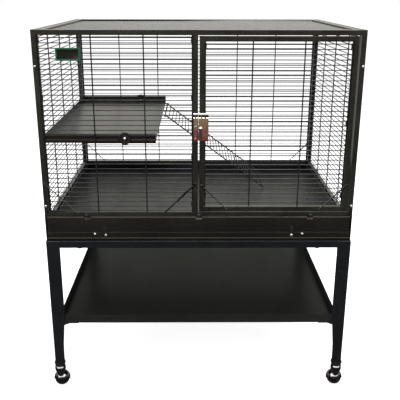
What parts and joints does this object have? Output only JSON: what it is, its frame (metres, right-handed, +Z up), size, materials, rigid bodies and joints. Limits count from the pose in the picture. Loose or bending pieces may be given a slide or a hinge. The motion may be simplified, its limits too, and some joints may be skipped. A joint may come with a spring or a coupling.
{
  "type": "ferret cage",
  "caption": "Wire cage on a rolling stand with a latched front door, a slide-out tray, a half platform with a wire ramp, and an open shelf under it.",
  "frame": {"origin": "on the floor, under the middle of the whole at rest", "axes": "+Z up, +X to the right as seen from the front, -Y towards the person at the door; the long side of the cage runs along X"},
  "size_m": [1.0556, 0.8047, 1.262],
  "materials": {
    "frame_paint": "dark grey hammertone powder coat",
    "wire_paint": "dark grey powder coat on welded wire",
    "stand_paint": "bluish black powder coat",
    "pan_paint": "glossy warm grey powder coat on sheet",
    "zinc": "zinc plated",
    "chrome": "polished plating",
    "black_plastic": "black moulded plastic",
    "plate_paint": "green painted plate with a black field, bare",
    "rubber": "black hard rubber"
  },
  "bodies": {
    "cage": {"front_frame": "frame_paint", "front_wires": "wire_paint", "back_frame": "frame_paint", "back_wires": "wire_paint", "left_frame": "frame_paint", "left_wires": "wire_paint", "right_frame": "frame_paint", "right_wires": "wire_paint", "roof_frame": "frame_paint", "roof_wires": "wire_paint", "corner_braces": "frame_paint", "brace_screws": "frame_paint", "panel_bolts": "zinc", "front_sill": "frame_paint", "thumb_screws": "black_plastic", "base_frame": "frame_paint", "base_walls": "frame_paint", "tray_runners": "frame_paint", "hinge_pins": "zinc", "latch_keeper": "chrome", "platform": "pan_paint", "clamp_washers": "black_plastic", "clamp_bolts": "zinc", "wing_nuts": "zinc", "ramp_loops": "frame_paint", "name_plate": "plate_paint", "stand_frame": "stand_paint", "leg_front_left": "stand_paint", "leg_front_right": "stand_paint", "leg_rear_left": "stand_paint", "leg_rear_right": "stand_paint", "shelf": "stand_paint", "shelf_brackets": "stand_paint", "shelf_bolts": "stand_paint", "stand_bolts": "black_plastic", "caster_sockets": "black_plastic"},
    "door": {"door_frame": "frame_paint", "door_wires": "wire_paint", "door_braces": "frame_paint", "door_screws": "frame_paint", "latch_plate": "chrome"},
    "latch_lever": {"latch_lever": "chrome"},
    "tray": {"tray": "pan_paint", "tray_screws": "zinc"},
    "tray_lock_left": {"tray_lock_left": "frame_paint"},
    "tray_lock_right": {"tray_lock_right": "frame_paint"},
    "ramp": {"ramp": "wire_paint"},
    "caster_fl": {"caster_fork_fl": "chrome", "caster_axle_fl": "zinc"},
    "ball_fl": {"caster_ball_fl": "rubber"},
    "caster_fr": {"caster_fork_fr": "chrome", "caster_axle_fr": "zinc"},
    "ball_fr": {"caster_ball_fr": "rubber"},
    "caster_rl": {"caster_fork_rl": "chrome", "caster_axle_rl": "zinc"},
    "ball_rl": {"caster_ball_rl": "rubber"},
    "caster_rr": {"caster_fork_rr": "chrome", "caster_axle_rr": "zinc"},
    "ball_rr": {"caster_ball_rr": "rubber"}
  },
  "joints": [
    {"name": "door_swing", "type": "hinge", "parent": "cage", "child": "door", "pos_m": [0.464, -0.38335, 0.963], "axis": [0, 0, 1], "range_deg": [0, 130]},
    {"name": "latch_turn", "type": "hinge", "parent": "door", "child": "latch_lever", "pos_m": [0.0052, -0.39135, 0.9595], "axis": [0, 1, 0], "range_deg": [0, 90]},
    {"name": "tray_slide", "type": "slide", "parent": "cage", "child": "tray", "axis": [0, -1, 0], "range_m": [0, 0.65]},
    {"name": "tray_lock_left_turn", "type": "hinge", "parent": "tray", "child": "tray_lock_left", "pos_m": [-0.309, -0.39135, 0.6], "axis": [0, -1, 0], "range_deg": [0, 90]},
    {"name": "tray_lock_right_turn", "type": "hinge", "parent": "tray", "child": "tray_lock_right", "pos_m": [0.309, -0.39135, 0.6], "axis": [0, 1, 0], "range_deg": [0, 90]},
    {"name": "ramp_lift", "type": "hinge", "parent": "cage", "child": "ramp", "pos_m": [-0.12732, 0.19865, 0.91176], "axis": [0, -1, 0], "range_deg": [0, 70]},
    {"name": "swivel_fl", "type": "hinge", "parent": "cage", "child": "caster_fl", "pos_m": [-0.498, -0.37735, 0.11], "axis": [0, 0, 1], "continuous": true},
    {"name": "roll_fl", "type": "hinge", "parent": "caster_fl", "child": "ball_fl", "pos_m": [-0.498, -0.36035, 0.0265], "axis": [1, 0, 0], "continuous": true},
    {"name": "swivel_fr", "type": "hinge", "parent": "cage", "child": "caster_fr", "pos_m": [0.498, -0.37735, 0.11], "axis": [0, 0, 1], "continuous": true},
    {"name": "roll_fr", "type": "hinge", "parent": "caster_fr", "child": "ball_fr", "pos_m": [0.498, -0.36035, 0.0265], "axis": [1, 0, 0], "continuous": true},
    {"name": "swivel_rl", "type": "hinge", "parent": "cage", "child": "caster_rl", "pos_m": [-0.498, 0.35665, 0.11], "axis": [0, 0, 1], "continuous": true},
    {"name": "roll_rl", "type": "hinge", "parent": "caster_rl", "child": "ball_rl", "pos_m": [-0.498, 0.37365, 0.0265], "axis": [1, 0, 0], "continuous": true},
    {"name": "swivel_rr", "type": "hinge", "parent": "cage", "child": "caster_rr", "pos_m": [0.498, 0.35665, 0.11], "axis": [0, 0, 1], "continuous": true},
    {"name": "roll_rr", "type": "hinge", "parent": "caster_rr", "child": "ball_rr", "pos_m": [0.498, 0.37365, 0.0265], "axis": [1, 0, 0], "continuous": true}
  ]
}
